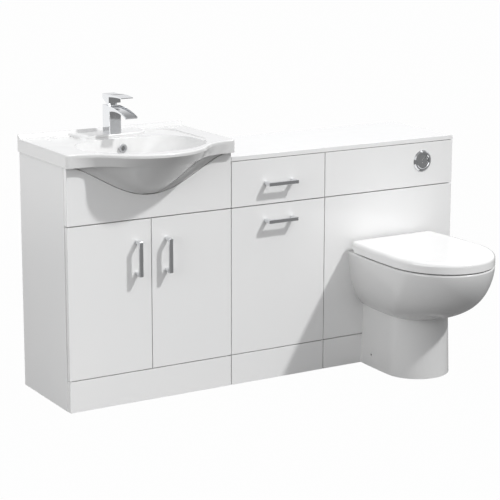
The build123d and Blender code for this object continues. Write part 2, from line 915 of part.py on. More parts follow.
def tap_lever():
    """Square handle block with a flat lever plate that runs forward to a thin tip."""
    back = tap_y + tap_depth / 2 - 2
    front = tap_y - tap_depth / 2 + 4
    z0 = pocket_z
    z1 = z0 + handle_block_h
    tip_y = front - lever_reach
    middle = (front + tip_y) / 2
    edges = [
        Line((front, z0), (tap_y, z0)),
        Line((tap_y, z0), (back, z0 + handle_heel)),
        Line((back, z0 + handle_heel), (back, z1)),
        Line((back, z1), (front, z1)),
        ThreePointArc((front, z1), (middle, z1 + lever_crown), (tip_y, z1 - 1)),
        Line((tip_y, z1 - 1), (tip_y, z1 - 1 - lever_tip_t)),
        ThreePointArc((tip_y, z1 - 1 - lever_tip_t), (middle, z1 - lever_t / 2), (front, z1 - lever_t)),
        Line((front, z1 - lever_t), (front, z0)),
    ]
    solid = Pos(basin_x, 0, 0) * extrude(Plane.YZ * make_face(edges), tap_w / 2, both=True)
    half_w, before, behind = handle_pocket
    solid -= block((basin_x - half_w, basin_x + half_w), (tap_y - before, tap_y + behind),
                   (z0 - 1, z1 - handle_roof))
    pin_l = tap_w - 2 * pin_end_gap + 1
    return solid - rod((basin_x - pin_l / 2, tap_y, pivot_z), to_right, pivot_pin_r + pin_clear, pin_l)


def tap_fixing():
    """Stud, washer, bridge and nut that clamp the tap from below."""
    stud_y = tap_y + stud_behind
    washer_r, washer_t = fix_washer
    reach_x, reach_y, bridge_t = fix_bridge
    bridge_z = basin_unit_h - washer_t - bridge_t
    stud = rod((basin_x, stud_y, ledge_top), down, stud_r, ledge_top - basin_unit_h + stud_below)
    washer = tube((basin_x, tap_y, basin_unit_h), down, washer_r, tap_hole_r - 1, washer_t)
    bridge = block((basin_x - reach_x, basin_x + reach_x), (stud_y - reach_y, stud_y + reach_y),
                   (bridge_z, bridge_z + bridge_t))
    return stud + washer + bridge + rod((basin_x, stud_y, bridge_z), down, fix_nut_r, fix_nut_h)


def supply_tail(side, length):
    """Copper tail that leaves the tap hole, bends outwards clear of the trap and ends in a ferrule."""
    y = tap_y - tail_before_stem
    x0 = basin_x + side * tail_apart / 2
    x1 = basin_x + side * tail_spread
    bend_z = ledge_top - tail_straight
    end_z = ledge_top - length
    path = FilletPolyline((x0, y, ledge_top), (x0, y, bend_z), (x1, y, bend_z - tail_bend_h),
                          (x1, y, end_z), radius=tail_bend_r)
    ring = Plane(origin=(x0, y, ledge_top), z_dir=down) * (Circle(tail_r) - Circle(tail_bore_r))
    return sweep(ring, path=path) + tube((x1, y, end_z), up, ferrule_r, tail_r - 1, ferrule_l)


def supply_tails():
    return [supply_tail(-1, tail_l), supply_tail(1, tail_l - tail_step)]


# Drawer

def drawer_front():
    return front_panel(x_laundry, laundry_unit_w, split_z, low_unit_h, door_t)


def drawer_box():
    """Open-topped box screwed to the back of the drawer front."""
    y1 = door_t + drawer_l
    outer = block((box_left, box_right), (door_t, y1), (drawer_z, drawer_z + drawer_h))
    inner = block((box_left + drawer_wall, box_right - drawer_wall),
                  (door_t + drawer_wall, y1 - drawer_wall),
                  (drawer_z + drawer_base, drawer_z + drawer_h + 1))
    return outer - inner


def fixed_runner(x_face, side):
    """Channel with two lips on a side board's face, opening towards the drawer."""
    x = sorted((x_face, x_face + side * runner_t))
    groove = sorted((x_face + side * runner_web, x_face + side * (runner_t + 1)))
    y = (runner_y, runner_y + runner_l)
    channel = block(x, y, (runner_z, runner_z + runner_h))
    inside = (runner_z + runner_lip, runner_z + runner_h - runner_lip)
    return channel - block(groove, (y[0] - 1, y[1] + 1), inside)


def fixed_runners():
    return [fixed_runner(inner_left, 1), fixed_runner(inner_right, -1)]


def sliding_runner(x_face, side):
    """Drawer member: a web on the drawer's side with a tongue that runs in the channel."""
    y = (runner_y, runner_y + runner_l)
    web = sorted((x_face, x_face + side * runner_t))
    tongue_end = 2 * runner_t + runner_play - runner_web - 2 * runner_play
    tongue = sorted((x_face + side * runner_t, x_face + side * tongue_end))
    plate = block(web, y, (runner_z + slide_inset, runner_z + runner_h - slide_inset))
    return plate + block(tongue, y, (runner_z + tongue_inset, runner_z + runner_h - tongue_inset))


def sliding_runners():
    return [sliding_runner(box_left, -1), sliding_runner(box_right, 1)]


# Laundry basket

def basket_level(z, inset, rise):
    """Rounded outline of the basket; rise is 0 at its foot and 1 at its top."""
    shrink = basket_taper * (1 - rise)
    plan_w = basket_w - 2 * shrink - 2 * inset
    plan_d = basket_d - shrink - 2 * inset
    plan = RectangleRounded(plan_w, plan_d, basket_corner_r - inset / 2)
    return Pos(laundry_x, door_t + inset + plan_d / 2, z) * plan


def laundry_basket():
    """Tapered plastic bin behind the tilting door, slotted on its two sides."""
    outer = loft([basket_level(basket_z, 0, 0), basket_level(basket_top_z, 0, 1)], ruled=True)
    inner = loft([basket_level(basket_z + basket_wall, basket_wall, 0),
                  basket_level(basket_top_z + 1, basket_wall, 1)], ruled=True)
    rim_plan = RectangleRounded(basket_w + 2 * basket_rim, basket_d, basket_corner_r)
    rim = extrude(rim_plan, basket_rim_h)
    body = outer + Pos(laundry_x, door_t + basket_d / 2, basket_top_z - basket_rim_h) * rim - inner
    row_h = (basket_h - slot_margin) / slot_rows
    across = (laundry_x - basket_w, laundry_x + basket_w)
    for row in range(slot_rows):
        z = basket_z + slot_z0 + row * row_h
        for i in range(slots_per_row):
            y = door_t + slot_from_door + i * slot_pitch
            body -= block(across, (y, y + slot_w), (z, z + row_h - slot_bridge))
    return body


# WC unit

def wc_upper_panel():
    panel = front_panel(x_wc, wc_unit_w, split_z, low_unit_h, front_t)
    return panel - bore((button_x, 0, button_z), to_wall, button_well_r + barrel_wall, front_t)


def wc_lower_panel():
    panel = front_panel(x_wc, wc_unit_w, plinth_h, split_z, front_t)
    panel -= bore((pan_x, 0, soil_z), to_wall, soil_r + panel_hole_clear, front_t)
    return panel - bore((pan_x, 0, inlet_z), to_wall, flush_r + panel_hole_clear, front_t)


def cistern_tank():
    """Open-topped tank with a flush outlet in the middle and a fill inlet to the right."""
    z1 = tank_z + tank_h
    shell = block(tank_x, tank_y, (tank_z, z1))
    shell = fillet(shell.edges().filter_by(Axis.Z), tank_corner_r)
    inner = block((tank_x[0] + tank_wall, tank_x[1] - tank_wall),
                  (tank_y[0] + tank_wall, tank_y[1] - tank_wall), (valve_z, z1 + 1))
    shell -= fillet(inner.edges().filter_by(Axis.Z), tank_corner_r - tank_wall)
    shell -= bore((pan_x, valve_y, tank_z), up, flush_r + flush_hole_clear, tank_wall)
    return shell - bore((fill_x, valve_y, tank_z), up, fill_hole_r, tank_wall)


def cistern_lid():
    z = tank_z + tank_h
    lid = block(tank_x, tank_y, (z, z + tank_lid_t))
    return fillet(lid.edges().filter_by(Axis.Z), tank_corner_r)


def flush_valve():
    """Drop valve: base, windowed cage, float bell, overflow pipe, and threaded outlet with its nut."""
    c = (pan_x, valve_y)
    base_r, base_h = valve_base
    cage_r, cage_in, cage_h = valve_cage
    pipe_r, pipe_in, pipe_h = overflow_pipe
    thread_out, thread_in, thread_l = valve_thread
    nut_r, nut_h = valve_nut
    cage_z = valve_z + base_h
    head_z = cage_z + cage_h
    cage = tube((*c, cage_z), up, cage_r, cage_in, cage_h)
    for turn in (0, 60, 120):
        cage -= Pos(*c, cage_z + cage_h / 2) * Rot(0, 0, turn) * Box(*valve_window)
    body = tube((*c, valve_z), up, base_r, flush_r, base_h) + cage
    body += rod((*c, head_z), up, cage_r, valve_head_h)
    body += tube((*c, head_z + valve_head_h), up, pipe_r, pipe_in, pipe_h)
    body += tube((*c, valve_z), down, flush_r + thread_out, flush_r + thread_in, thread_l)
    return body + tube((*c, tank_z), down, nut_r, flush_r + thread_out, nut_h)


def fill_valve():
    """Float-operated fill valve with its float cup, threaded inlet and nut."""
    c = (fill_x, valve_y)
    shank_r, shank_h = fill_shank
    cup_out, cup_in, cup_z, cup_h = fill_float
    bridge_x, bridge_y, bridge_h = fill_bridge
    thread_r, thread_l = fill_thread
    bridge_z = valve_z + cup_z + cup_h - bridge_h / 2
    body = rod((*c, valve_z), up, shank_r, shank_h) + rod((*c, valve_z), up, *fill_collar)
    body += tube((*c, valve_z + cup_z), up, cup_out, cup_in, cup_h)
    body += rod((*c, valve_z + shank_h), up, *fill_head)
    body += block((c[0] - bridge_x, c[0] + bridge_x), (c[1] - bridge_y, c[1] + bridge_y),
                  (bridge_z, bridge_z + bridge_h))
    body += rod((*c, valve_z), down, thread_r, tank_wall + thread_l)
    return body + tube((*c, tank_z), down, fill_nut[0], thread_r, fill_nut[1])


def flush_pipe():
    """Flush bend from the cistern down and forward into the pan's inlet."""
    top_z = tank_z - tank_wall
    path = FilletPolyline((pan_x, valve_y, top_z), (pan_x, valve_y, inlet_z), (pan_x, -inlet_depth, inlet_z),
                          radius=flush_bend_r)
    start = Plane(origin=(pan_x, valve_y, top_z), z_dir=down)
    return sweep(start * (Circle(flush_r) - Circle(flush_bore_r)), path=path)


def button_place():
    """Location of the flush button on the upper panel, its local Z pointing into the room."""
    return Plane(origin=(button_x, 0, button_z), x_dir=to_right, z_dir=to_room).location


def flush_ring():
    """Chrome bezel with its threaded barrel through the panel, back nut and end cap."""
    barrel_r = button_well_r + barrel_wall
    end = -front_t - barrel_past
    profile = make_face(Polyline((button_well_r, ring_out - 1.5), (barrel_r, ring_out),
                                 (ring_r - ring_flat, ring_out), (ring_r, 1), (ring_r, 0), (barrel_r, 0),
                                 (barrel_r, end), (button_well_r, end), close=True))
    nut_r, nut_h = ring_nut
    body = revolve(Plane.XZ * profile, Axis.Z)
    body += tube((0, 0, -front_t), down, nut_r, barrel_r, nut_h)
    return button_place() * (body + rod((0, 0, end), down, barrel_r, ring_cap_t))


def flush_button(plan, stem_x):
    """One of the two buttons: a disc of the given plan on its stem."""
    stem_r, stem_l = button_stem
    disc = extrude(plan, button_t)
    disc = chamfer(disc.edges().group_by(Axis.Z)[-1], button_edge)
    stem = Pos(stem_x, 0, 0) * Cylinder(stem_r, stem_l, align=hanging)
    return button_place() * Pos(0, 0, button_face - button_t) * (disc + stem)


def full_button():
    disc_r = button_well_r - button_play
    notch = Pos(disc_r - half_button_r - ring_cap_t, 0) * Circle(half_button_r)
    return flush_button(Circle(disc_r) - notch, full_stem_x)


def half_button():
    x = button_well_r - button_play - half_button_r - ring_cap_t
    return flush_button(Pos(x, 0) * Circle(half_button_r - button_play), half_stem_x)


# Pan, seat and lid

def d_plan(half_w, half_back, back_y, front_y, nose, z):
    """D plan of the pan: straight back, sides that swell, half-elliptical nose."""
    shoulder = front_y + nose
    mid = (half_w - (half_w - half_back) / 4, (back_y + shoulder) / 2)
    edges = [
        Line((-half_back, back_y), (half_back, back_y)),
        ThreePointArc((half_back, back_y), mid, (half_w, shoulder)),
        EllipticalCenterArc((0, shoulder), half_w, nose, start_angle=180, arc_size=180),
        ThreePointArc((-half_w, shoulder), (-mid[0], mid[1]), (-half_back, back_y)),
    ]
    return Pos(pan_x, 0, z) * make_face(edges)


def oval_plan(half_w, y0, y1, z):
    return Pos(pan_x, (y0 + y1) / 2, z) * Ellipse(half_w, (y1 - y0) / 2)


def pan_bowl():
    """Outer form of the bowl, swelling from the foot up to the rim."""
    bowl = loft([d_plan(pan_half_w * share, pan_back_half_w * share, 0, -pan_reach * share,
                        pan_nose * share, rim_z - below) for below, share in pan_levels])
    rim_edges = bowl.edges().group_by(Axis.Z)[-1].filter_by(lambda e: e.center().Y < -1)
    return fillet(rim_edges, pan_rim_r)


def pan_foot():
    """Upright foot with its slight draw, narrower than the bowl."""
    w = stem_half_w
    top_w = w - stem_draw
    foot = d_plan(w, w - stem_back_less, 0, -stem_reach, w, 0)
    return loft([foot, d_plan(top_w, top_w - stem_back_less, 0, stem_draw - stem_reach, top_w, stem_top_z)])


def wc_pan():
    """Back-to-wall pan: bowl on its foot, with the well, foot hollow, flush inlet and soil outlet."""
    body = pan_bowl() + pan_foot()
    body -= loft([oval_plan(half_w, front - pan_reach, -back, rim_z - below)
                  for below, half_w, front, back in bowl_wells])
    w = stem_half_w - pan_wall
    hollow = d_plan(w, w - stem_back_less, -pan_wall, pan_wall - stem_reach, w, 0)
    body -= extrude(hollow, foot_hollow_h)
    body += rod((pan_x, -hole_over, soil_z), to_wall, soil_r, spigot_y[1] + hole_over)
    body -= rod((pan_x, spigot_y[0], soil_z), to_wall, soil_r - soil_wall, 2 * (spigot_y[1] - spigot_y[0]))
    body -= rod((pan_x, -inlet_depth - inlet_end_gap, inlet_z), to_wall, flush_r + inlet_clear, 2 * inlet_depth)
    r, length, from_wall, z = fix_hole
    for side in (-1, 1):
        body -= rod((pan_x + side * (stem_half_w + hole_over), -from_wall, z), (-side, 0, 0), r, length)
    return body


def pan_connector():
    """Soil connector: socket over the pan's spigot, then pipe back to the wall."""
    y0 = front_t + socket_gap
    y1 = spigot_y[1] + connector_wall
    socket = tube((pan_x, y0, soil_z), to_wall, soil_r + socket_wall, soil_r, y1 - y0)
    return socket + tube((pan_x, y1, soil_z), to_wall, soil_r + connector_wall, soil_r, depth - y1)


def knuckle_span(x, side):
    """Ends of a knuckle beside the post at x, on the given side of it."""
    near = x + side * (post_w / 2 + knuckle_gap)
    return sorted((near, near + side * knuckle_w))


def knuckle(span):
    return rod((span[0], seat_axis_y, seat_axis_z), to_right, knuckle_r, knuckle_w)


def pin_bore(span):
    return bore((span[0], seat_axis_y, seat_axis_z), to_right, seat_pin_r + pin_clear, knuckle_w)


def wc_seat():
    """Seat ring with two hinge knuckles outside the posts."""
    plan = d_plan(pan_half_w - seat_inset, pan_back_half_w - seat_inset, seat_back_y,
                  seat_inset - pan_reach, pan_nose - seat_inset, seat_z)
    ring = extrude(plan, seat_t)
    ring = fillet(ring.edges().group_by(Axis.Z)[-1], seat_round)
    hole_half_w, hole_front, hole_back = seat_hole
    ring -= extrude(oval_plan(hole_half_w, hole_front - pan_reach, -hole_back, seat_z), seat_t)
    for x, side in zip(post_xs, (-1, 1)):
        span = knuckle_span(x, side)
        lug = block(span, (seat_back_y - lug_sunk, seat_axis_y), (seat_z + 2, seat_axis_z - 1))
        ring = ring + knuckle(span) + lug
        ring -= pin_bore(span)
    return ring


def wc_lid():
    """Wrap-over lid: rounded edge, skirt round the seat, two knuckles inside the posts."""
    outer = extrude(d_plan(pan_half_w, pan_back_half_w, lid_back_y, -pan_reach, pan_nose, seat_z), lid_h)
    top = outer.edges().group_by(Axis.Z)[-1]
    outer = fillet(top.filter_by(lambda e: e.center().Y < lid_back_y - 1), lid_round)
    outer = fillet(outer.edges().group_by(Axis.Z)[-1].sort_by(Axis.Y)[-1:], lid_back_round)
    t = lid_wall
    inner_plan = d_plan(pan_half_w - t, pan_back_half_w - t, lid_back_y + lid_back_wall, t - pan_reach,
                        pan_nose - t, seat_z)
    inner = extrude(inner_plan, lid_h - lid_top_t)
    lid = outer - fillet(inner.edges().group_by(Axis.Z)[-1], lid_inner_round)
    for x, side in zip(post_xs, (1, -1)):
        span = knuckle_span(x, side)
        lug = block(span, (seat_axis_y - knuckle_r, seat_axis_y + knuckle_r), (seat_axis_z, lid_top_z - 2))
        lid = lid + knuckle(span) + lug
        lid -= pin_bore(span)
    across = (pan_x - pan_half_w, pan_x + pan_half_w)
    lid -= block(across, (seat_axis_y, lid_back_y + 1), (seat_z - 1, seat_z + lid_heel))
    foot_r, foot_x, foot_y = lid_foot
    for side in (-1, 1):
        lid += rod((pan_x + side * foot_x, -foot_y, seat_axis_z), up, foot_r, lid_h - seat_t - 2)
    return lid


def seat_posts():
    """Hinge posts on the pan's deck, each with its cross pin."""
    posts = []
    for x in post_xs:
        x0 = x - post_w / 2
        y = (seat_axis_y - knuckle_r, seat_axis_y + knuckle_r)
        foot = block((x0, x0 + post_w), y, (rim_z, seat_axis_z))
        head = rod((x0, seat_axis_y, seat_axis_z), to_right, knuckle_r, post_w)
        pin_start = (x0 - post_pin_past, seat_axis_y, seat_axis_z)
        pin = rod(pin_start, to_right, seat_pin_r, post_w + 2 * post_pin_past)
        posts.append(foot + head + pin)
    return posts


def seat_buffers():
    return [rod((pan_x + x, y, rim_z), up, buffer_r, seat_gap) for x, y in buffer_spots]


split_x = basin_unit_w / 2
nodes = {
    "basin_side_left": unit_side(0, basin_unit_h),
    "basin_side_right": unit_side(basin_unit_w - board, basin_unit_h),
    "basin_floor_panel": floor_panel(0, basin_unit_w),
    "basin_fascia": basin_fascia(),
    "basin_plinth": plinth(0, basin_unit_w),
    "basin_door_left": basin_door(half, split_x - half, left_cup_x),
    "basin_door_right": basin_door(split_x + half, basin_unit_w - half, right_cup_x),
    "door_handle_left": upright_handle(split_x - handle_from_split),
    "door_handle_right": upright_handle(split_x + handle_from_split),
    "hinge_cups_left": door_cups(left_cup_x),
    "hinge_cups_right": door_cups(right_cup_x),
    "hinge_arms": hinge_arms(),
    "unit_rails": unit_rails(),
    "ceramic_basin": ceramic_basin(),
    "overflow_ring": overflow_ring(),
    "waste_body": waste_body(),
    "waste_plug": waste_plug(),
    "bottle_trap": bottle_trap(),
    "trap_outlet_pipe": trap_outlet_pipe(),
    "tap_body": tap_body(),
    "tap_neck": tap_neck(),
    "tap_stem": tap_stem(),
    "tap_lever": tap_lever(),
    "tap_fixing": tap_fixing(),
    "supply_tails": supply_tails(),
    "laundry_side_left": unit_side(x_laundry, low_unit_h),
    "laundry_side_right": unit_side(x_wc - board, low_unit_h),
    "laundry_floor_panel": floor_panel(x_laundry, laundry_unit_w),
    "laundry_back": laundry_back(),
    "laundry_plinth": plinth(x_laundry, laundry_unit_w),
    "laundry_worktop": worktop(x_laundry, laundry_unit_w),
    "drawer_front": drawer_front(),
    "drawer_box": drawer_box(),
    "drawer_handle": level_handle(low_unit_h - drawer_handle_drop),
    "runners_fixed": fixed_runners(),
    "runners_sliding": sliding_runners(),
    "laundry_door": laundry_door(),
    "laundry_handle": level_handle(split_z - laundry_handle_drop),
    "laundry_hinge_cups": [cup_on_door(x, laundry_cup_z, False) for x in laundry_hinge_xs],
    "laundry_basket": laundry_basket(),
    "wc_side_left": unit_side(x_wc, low_unit_h),
    "wc_side_right": unit_side(x_end - board, low_unit_h),
    "wc_worktop": worktop(x_wc, wc_unit_w),
    "wc_upper_panel": wc_upper_panel(),
    "wc_lower_panel": wc_lower_panel(),
    "wc_plinth": plinth(x_wc, wc_unit_w),
    "cistern_tank": cistern_tank(),
    "cistern_lid": cistern_lid(),
    "flush_valve": flush_valve(),
    "fill_valve": fill_valve(),
    "flush_pipe": flush_pipe(),
    "flush_ring": flush_ring(),
    "flush_button_full": full_button(),
    "flush_button_half": half_button(),
    "wc_pan": wc_pan(),
    "pan_connector": pan_connector(),
    "seat_posts": seat_posts(),
    "wc_seat": wc_seat(),
    "seat_buffers": seat_buffers(),
    "wc_lid": wc_lid(),
}

# Origin at the bottom centre of the whole run, from the basin's left end to the WC unit's
# right end and from the wall to the front of the WC lid
origin_x = (x_end - slab_over) / 2
origin_y = (depth - pan_reach) / 2
to_origin = Pos(-origin_x, -origin_y, 0)


def solids_of(shape):
    """All solids of a piece, or of a group of like pieces, as one flat list."""
    pieces = shape if isinstance(shape, list) else [shape]
    return [solid for piece in pieces for solid in piece.solids()]


for name, shape in nodes.items():
    solids = [to_origin * solid for solid in solids_of(shape)]
    whole = solids[0] if len(solids) == 1 else Compound(children=solids)
    whole.label = name
    export_step(whole, f"parts/{name}.step")
print("nodes", len(nodes))
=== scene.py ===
# %% [markdown]
# Bathroom run: a basin unit with two doors, a drawer and laundry unit, and a unit with a toilet
# in front of it. The solids come from the CAD model. This lesson gives them their finishes, adds
# the small pieces that are too fine for the CAD model, and lights them like the photograph.

# %% Load the CAD frame
from math import cos, pi, radians, sin

import bmesh
import bpy
from mathutils import Matrix, Vector


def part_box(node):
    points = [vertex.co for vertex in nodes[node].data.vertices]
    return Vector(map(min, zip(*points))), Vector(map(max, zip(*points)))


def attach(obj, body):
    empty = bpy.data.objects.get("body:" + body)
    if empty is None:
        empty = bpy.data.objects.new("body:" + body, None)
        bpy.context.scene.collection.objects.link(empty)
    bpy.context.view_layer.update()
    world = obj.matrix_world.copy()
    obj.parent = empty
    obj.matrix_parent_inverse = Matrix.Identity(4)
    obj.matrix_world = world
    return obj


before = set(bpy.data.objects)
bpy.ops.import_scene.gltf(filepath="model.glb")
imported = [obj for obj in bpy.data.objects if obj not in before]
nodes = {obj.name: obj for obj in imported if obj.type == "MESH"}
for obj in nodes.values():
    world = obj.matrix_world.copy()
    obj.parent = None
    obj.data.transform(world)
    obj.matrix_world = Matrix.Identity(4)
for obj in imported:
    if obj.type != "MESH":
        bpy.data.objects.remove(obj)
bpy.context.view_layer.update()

# %% [markdown]
# The photograph was taken from the left and a little above, with a long lens. A long lens far
# away keeps the units' upright edges nearly parallel. The frame is slid down a little instead of
# tilting the camera further, so the verticals stay almost straight, as in a catalogue picture.

# %% Camera
camera_place = (-2.685, -4.279, 1.590)
camera_turn = radians(-30.53)
camera_tilt = radians(90 - 11.34)
lens_length, sensor_width = 121.5, 36.0
slide_right, slide_up = 0.028, -0.097
sight_limit = 60.0

camera_data = bpy.data.cameras.new("studio_camera")
camera_data.lens = lens_length
camera_data.sensor_width = sensor_width
camera_data.shift_x = slide_right
camera_data.shift_y = slide_up
camera_data.clip_end = sight_limit
camera = bpy.data.objects.new("studio_camera", camera_data)
camera.location = camera_place
camera.rotation_euler = (camera_tilt, 0.0, camera_turn)
bpy.context.scene.collection.objects.link(camera)
bpy.context.scene.camera = camera
print("camera at", camera_place, "with a lens of", lens_length, "mm")

# %% [markdown]
# The studio is lit like the photograph. Soft boxes stand on the left, overhead and beside the
# camera. They are wide, so they throw no hard shadow of their own. The lamps' powers are kept in
# one place, so they can be balanced.

# %% Soft boxes
lamp_power = {"key": 2.1, "left": 48.0, "top": 6.0, "front": 8.0}
lamp_aim = Vector((0.0, 0.0, 0.4))


def soft_box(name, place, size, power):
    """A rectangular lamp that faces the middle of the object."""
    lamp_data = bpy.data.lights.new(name, "AREA")
    lamp_data.shape = "RECTANGLE"
    lamp_data.size, lamp_data.size_y = size
    lamp_data.energy = power
    lamp = bpy.data.objects.new(name, lamp_data)
    lamp.location = place
    aim = lamp_aim - Vector(place)
    lamp.rotation_euler = aim.to_track_quat("-Z", "Y").to_euler()
    bpy.context.scene.collection.objects.link(lamp)


soft_box("left_box", (-3.6, -1.0, 1.4), (2.6, 2.2), lamp_power["left"])
soft_box("top_box", (0.2, -0.2, 3.4), (3.2, 2.2), lamp_power["top"])
soft_box("front_box", (-0.4, -4.4, 1.9), (2.4, 1.6), lamp_power["front"])
print("lamps:", lamp_power)

# %% [markdown]
# One crisp lamp stands far to the right and throws the basin's and the toilet's shadows on the
# fronts. A sun lamp has parallel rays, so only its direction counts. It is given as a turn to
# the right of straight ahead and a height above the floor.

# %% Key lamp
key_side, key_height = radians(40), radians(48)
key_spread = radians(3.0)
to_key = Vector((sin(key_side) * cos(key_height),
                 -cos(key_side) * cos(key_height),
                 sin(key_height)))

sun_data = bpy.data.lights.new("key_lamp", "SUN")
sun_data.energy = lamp_power["key"]
sun_data.angle = key_spread
sun = bpy.data.objects.new("key_lamp", sun_data)
sun.rotation_euler = (-to_key).to_track_quat("-Z", "Y").to_euler()
bpy.context.scene.collection.objects.link(sun)
print("key lamp towards", [round(v, 2) for v in to_key])

# %% [markdown]
# The air and the floor both show one thing to the camera and another to the rest, so two small
# node helpers come first. One is a grey gradient that runs from straight down to straight up.
# The other blends two shaders by a share, which here is always a ray kind of the Light Path node.

# %% Helpers for the air and the floor
cool_tint = 1.01


def air_gradient(tree, stops):
    """Colour by height, from (position, grey) stops: 0 is straight down and 1 straight up."""
    where = tree.nodes.new("ShaderNodeTexCoord")
    split = tree.nodes.new("ShaderNodeSeparateXYZ")
    height = tree.nodes.new("ShaderNodeMapRange")
    height.inputs["From Min"].default_value = -1.0
    ramp = tree.nodes.new("ShaderNodeValToRGB")
    for stop in stops[2:]:
        ramp.color_ramp.elements.new(stop[0])
    for element, (position, grey) in zip(ramp.color_ramp.elements, stops):
        element.position = position
        element.color = (grey, grey, grey * cool_tint, 1.0)
    tree.links.new(where.outputs["Generated"], split.inputs["Vector"])
    tree.links.new(split.outputs["Z"], height.inputs["Value"])
    tree.links.new(height.outputs["Result"], ramp.inputs["Fac"])
    return ramp.outputs["Color"]


def blend(tree, share, first, second):
    """The first shader where the share is 0, and the second where it is 1."""
    node = tree.nodes.new("ShaderNodeMixShader")
    tree.links.new(share, node.inputs["Fac"])
    tree.links.new(first, node.inputs[1])
    tree.links.new(second, node.inputs[2])
    return node.outputs["Shader"]


print("helpers for ray-dependent shaders")

# %% [markdown]
# The air round the object is white where the camera looks at it, as on a cut-out catalogue
# picture. Everything else meets a gradient instead: dark below, light above. White ware needs
# that dark floor for the shade under its bellies, and chrome needs it for its contrast.

# %% Air
air_strength = 0.78
mirror_strength = 0.95
soft_stops = [(0.35, 0.42), (0.85, 1.0)]
crisp_stops = [(0.0, 0.12), (0.5, 0.16), (0.55, 0.9), (0.68, 1.0), (0.8, 0.42), (1.0, 0.42)]

world = bpy.data.worlds.new("white_studio")
world.use_nodes = True
bpy.context.scene.world = world
air = world.node_tree
air.nodes.clear()
air_out = air.nodes.new("ShaderNodeOutputWorld")
ray = air.nodes.new("ShaderNodeLightPath")
seen = air.nodes.new("ShaderNodeBackground")
seen.inputs["Color"].default_value = (1.0, 1.0, 1.0, 1.0)
lit = air.nodes.new("ShaderNodeBackground")
lit.inputs["Strength"].default_value = air_strength
mirrored = air.nodes.new("ShaderNodeBackground")
mirrored.inputs["Strength"].default_value = mirror_strength
air.links.new(air_gradient(air, soft_stops), lit.inputs["Color"])
air.links.new(air_gradient(air, crisp_stops), mirrored.inputs["Color"])
around = blend(air, ray.outputs["Is Glossy Ray"],
               lit.outputs["Background"], mirrored.outputs["Background"])
shown = blend(air, ray.outputs["Is Camera Ray"], around, seen.outputs["Background"])
air.links.new(shown, air_out.inputs["Surface"])
bpy.context.scene.view_settings.view_transform = "Standard"
print("air strength", air_strength, "and", mirror_strength, "in mirrors")

# %% [markdown]
# The studio floor is one big square under the object. It belongs to the studio and not to the
# furniture.

# %% Studio floor
floor_half = 15.0

floor_mesh = bpy.data.meshes.new("studio_floor")
bm = bmesh.new()
bmesh.ops.create_grid(bm, x_segments=2, y_segments=2, size=floor_half)
bm.to_mesh(floor_mesh)
bm.free()
floor = bpy.data.objects.new("studio_floor", floor_mesh)
bpy.context.scene.collection.objects.link(floor)
print("studio floor", 2 * floor_half, "m wide")

# %% [markdown]
# To the camera the floor is nearly pure white with a trace of shade, so the object doesn't seem
# to float. To the lamps it is a dull dark sheet. In mirrors it is bright far back on the left
# and dim elsewhere, which gives chrome its light and dark faces.

# %% Floor paint
dull_grey = 0.12
white_share = 0.985
back_left = (-0.6, 0.8, 0.0)
sheen_start, sheen_end = 2.5, 3.8
sheen_dim, sheen_bright = 0.26, 1.15

floor_paint = bpy.data.materials.new("studio_floor_white")
floor_paint.use_nodes = True
paint = floor_paint.node_tree
paint.nodes.clear()
paint_out = paint.nodes.new("ShaderNodeOutputMaterial")
floor_ray = paint.nodes.new("ShaderNodeLightPath")
dull = paint.nodes.new("ShaderNodeBsdfDiffuse")
dull.inputs["Color"].default_value = (dull_grey, dull_grey, dull_grey, 1.0)
glow = paint.nodes.new("ShaderNodeEmission")
trace = paint.nodes.new("ShaderNodeMixShader")
trace.inputs["Fac"].default_value = white_share
paint.links.new(dull.outputs["BSDF"], trace.inputs[1])
paint.links.new(glow.outputs["Emission"], trace.inputs[2])
floor_place = paint.nodes.new("ShaderNodeTexCoord")
towards_left = paint.nodes.new("ShaderNodeVectorMath")
towards_left.operation = "DOT_PRODUCT"
towards_left.inputs[1].default_value = back_left
sheen_range = paint.nodes.new("ShaderNodeMapRange")
sheen_range.inputs["From Min"].default_value = sheen_start
sheen_range.inputs["From Max"].default_value = sheen_end
sheen_range.inputs["To Min"].default_value = sheen_dim
sheen_range.inputs["To Max"].default_value = sheen_bright
sheen = paint.nodes.new("ShaderNodeEmission")
paint.links.new(floor_place.outputs["Object"], towards_left.inputs[0])
paint.links.new(towards_left.outputs["Value"], sheen_range.inputs["Value"])
paint.links.new(sheen_range.outputs["Result"], sheen.inputs["Strength"])
floor_lit = blend(paint, floor_ray.outputs["Is Glossy Ray"],
                  dull.outputs["BSDF"], sheen.outputs["Emission"])
floor_shown = blend(paint, floor_ray.outputs["Is Camera Ray"], floor_lit, trace.outputs["Shader"])
paint.links.new(floor_shown, paint_out.inputs["Surface"])
floor_mesh.materials.append(floor_paint)
print("floor sheen from", sheen_start, "to", sheen_end, "m back to the left")

# %% [markdown]
# Every finish starts from one helper. It makes a Principled material and keeps hold of its node
# tree, so that each finish cell only states what is special about it. Patterns read Object
# coordinates, in metres, so their scale is real and they stay on a moving piece.

# %% Finish helper
even = (1.0, 1.0, 1.0)
noise_low, noise_high = 0.3, 0.7
ramp_low, ramp_high = 0.35, 0.65


